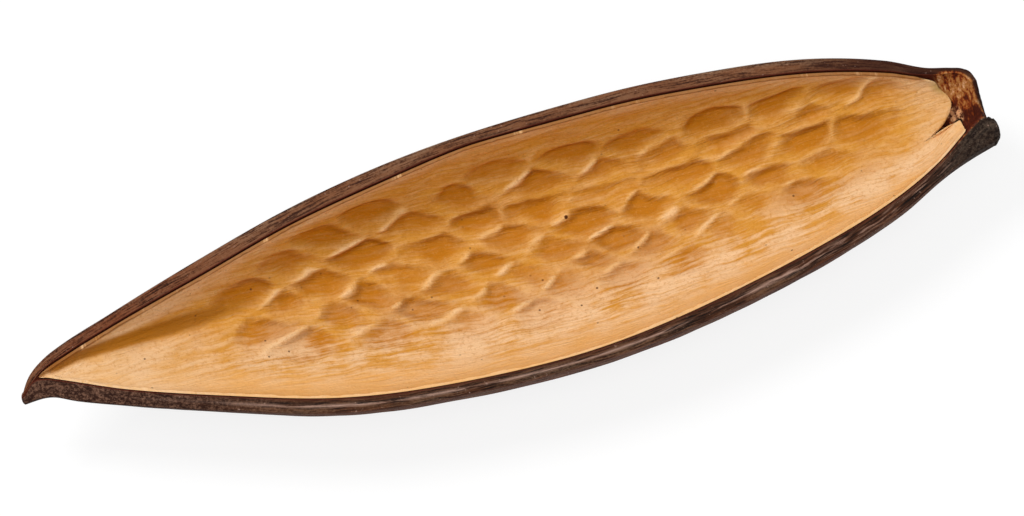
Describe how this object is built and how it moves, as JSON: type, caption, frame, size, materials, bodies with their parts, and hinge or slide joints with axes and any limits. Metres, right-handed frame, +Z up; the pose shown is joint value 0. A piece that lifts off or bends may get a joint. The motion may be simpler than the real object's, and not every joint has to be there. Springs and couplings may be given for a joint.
{
  "type": "canoe pod",
  "caption": "Open half of a split woody seed pod, long and boat shaped, with a loose tan lining pressed into a net of seed hollows.",
  "frame": {"origin": "under the middle of the bounding box, on the plane that the keel's flat spot rests on", "axes": "+X along the pod from its tip to its stalk end, +Y across it to the wall beyond the tear, +Z up, out of the open side"},
  "size_m": [0.1908, 0.0502, 0.021],
  "materials": {
    "husk": "dry dark brown bark with fine lengthwise fibres, matte",
    "lining": "smooth tan papery wood with a soft satin sheen"
  },
  "bodies": {
    "root": {"husk": "husk", "lining": "lining"}
  },
  "joints": []
}
